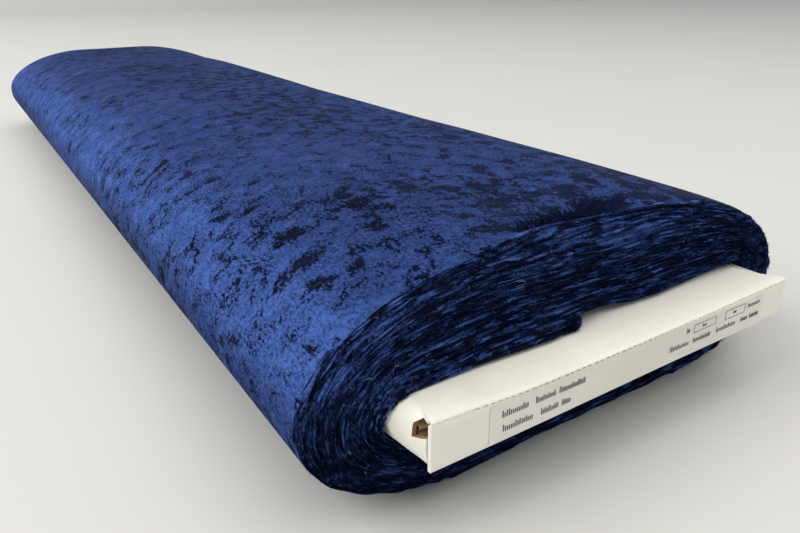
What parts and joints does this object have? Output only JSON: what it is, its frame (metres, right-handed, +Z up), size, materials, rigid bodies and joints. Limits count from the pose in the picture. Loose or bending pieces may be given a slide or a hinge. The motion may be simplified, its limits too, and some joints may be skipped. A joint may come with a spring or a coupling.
{
  "type": "fabric bolt",
  "caption": "Doubled velvet cloth wound flat on a folded corrugated board with tuck-in ends and a paper end label, lying flat.",
  "frame": {"origin": "under the middle of the roll, on the surface it lies on", "axes": "+X across the board, +Y along the bolt from the labelled near end to the far end, +Z up"},
  "size_m": [0.2254, 0.7904, 0.081],
  "materials": {
    "blue_velvet": "matte",
    "white_board": "matte",
    "kraft_board": "matte",
    "label_paper": "satin"
  },
  "bodies": {
    "roll": {"board_top_panel": "white_board", "board_bottom_panel": "white_board", "board_side_left": "white_board", "board_side_right": "white_board", "board_rib_left": "kraft_board", "board_rib_right": "kraft_board", "cloth_roll": "blue_velvet"},
    "loose_end": {"cloth_tail": "blue_velvet"},
    "near_flap": {"near_end_flap": "white_board", "end_label": "label_paper"},
    "near_tab": {"near_tuck_tab": "white_board"},
    "near_gusset_left": {"near_gusset_left": "white_board"},
    "near_gusset_right": {"near_gusset_right": "white_board"},
    "far_flap": {"far_end_flap": "white_board"},
    "far_tab": {"far_tuck_tab": "white_board"},
    "far_gusset_left": {"far_gusset_left": "white_board"},
    "far_gusset_right": {"far_gusset_right": "white_board"}
  },
  "joints": [
    {"name": "loose_end_peel", "type": "hinge", "parent": "roll", "child": "loose_end", "pos_m": [0.10195, 0, 0.01596], "axis": [0, 1, 0], "range_deg": [0, 60]},
    {"name": "near_flap_lift", "type": "hinge", "parent": "roll", "child": "near_flap", "pos_m": [0, -0.395, 0.04617], "axis": [-1, 0, 0], "range_deg": [0, 90]},
    {"name": "near_tab_fold", "type": "hinge", "parent": "near_flap", "child": "near_tab", "pos_m": [0, -0.3931, 0.03467], "axis": [-1, 0, 0], "range_deg": [-90, 0]},
    {"name": "near_gusset_left_turn", "type": "hinge", "parent": "roll", "child": "near_gusset_left", "pos_m": [-0.0826, -0.3931, 0.03497], "axis": [0, 0, -1], "range_deg": [0, 90]},
    {"name": "near_gusset_right_turn", "type": "hinge", "parent": "roll", "child": "near_gusset_right", "pos_m": [0.0826, -0.3931, 0.03497], "axis": [0, 0, 1], "range_deg": [0, 90]},
    {"name": "far_flap_lift", "type": "hinge", "parent": "roll", "child": "far_flap", "pos_m": [0, 0.395, 0.04617], "axis": [1, 0, 0], "range_deg": [0, 90]},
    {"name": "far_tab_fold", "type": "hinge", "parent": "far_flap", "child": "far_tab", "pos_m": [0, 0.3931, 0.03467], "axis": [1, 0, 0], "range_deg": [-90, 0]},
    {"name": "far_gusset_left_turn", "type": "hinge", "parent": "roll", "child": "far_gusset_left", "pos_m": [-0.0826, 0.3931, 0.03497], "axis": [0, 0, 1], "range_deg": [0, 90]},
    {"name": "far_gusset_right_turn", "type": "hinge", "parent": "roll", "child": "far_gusset_right", "pos_m": [0.0826, 0.3931, 0.03497], "axis": [0, 0, -1], "range_deg": [0, 90]}
  ],
  "couplings": [
    {"joint": "near_tab_fold", "follows": "near_flap_lift", "ratio": -1},
    {"joint": "near_gusset_left_turn", "follows": "near_flap_lift", "ratio": 1},
    {"joint": "near_gusset_right_turn", "follows": "near_flap_lift", "ratio": 1},
    {"joint": "far_tab_fold", "follows": "far_flap_lift", "ratio": -1},
    {"joint": "far_gusset_left_turn", "follows": "far_flap_lift", "ratio": 1},
    {"joint": "far_gusset_right_turn", "follows": "far_flap_lift", "ratio": 1}
  ]
}
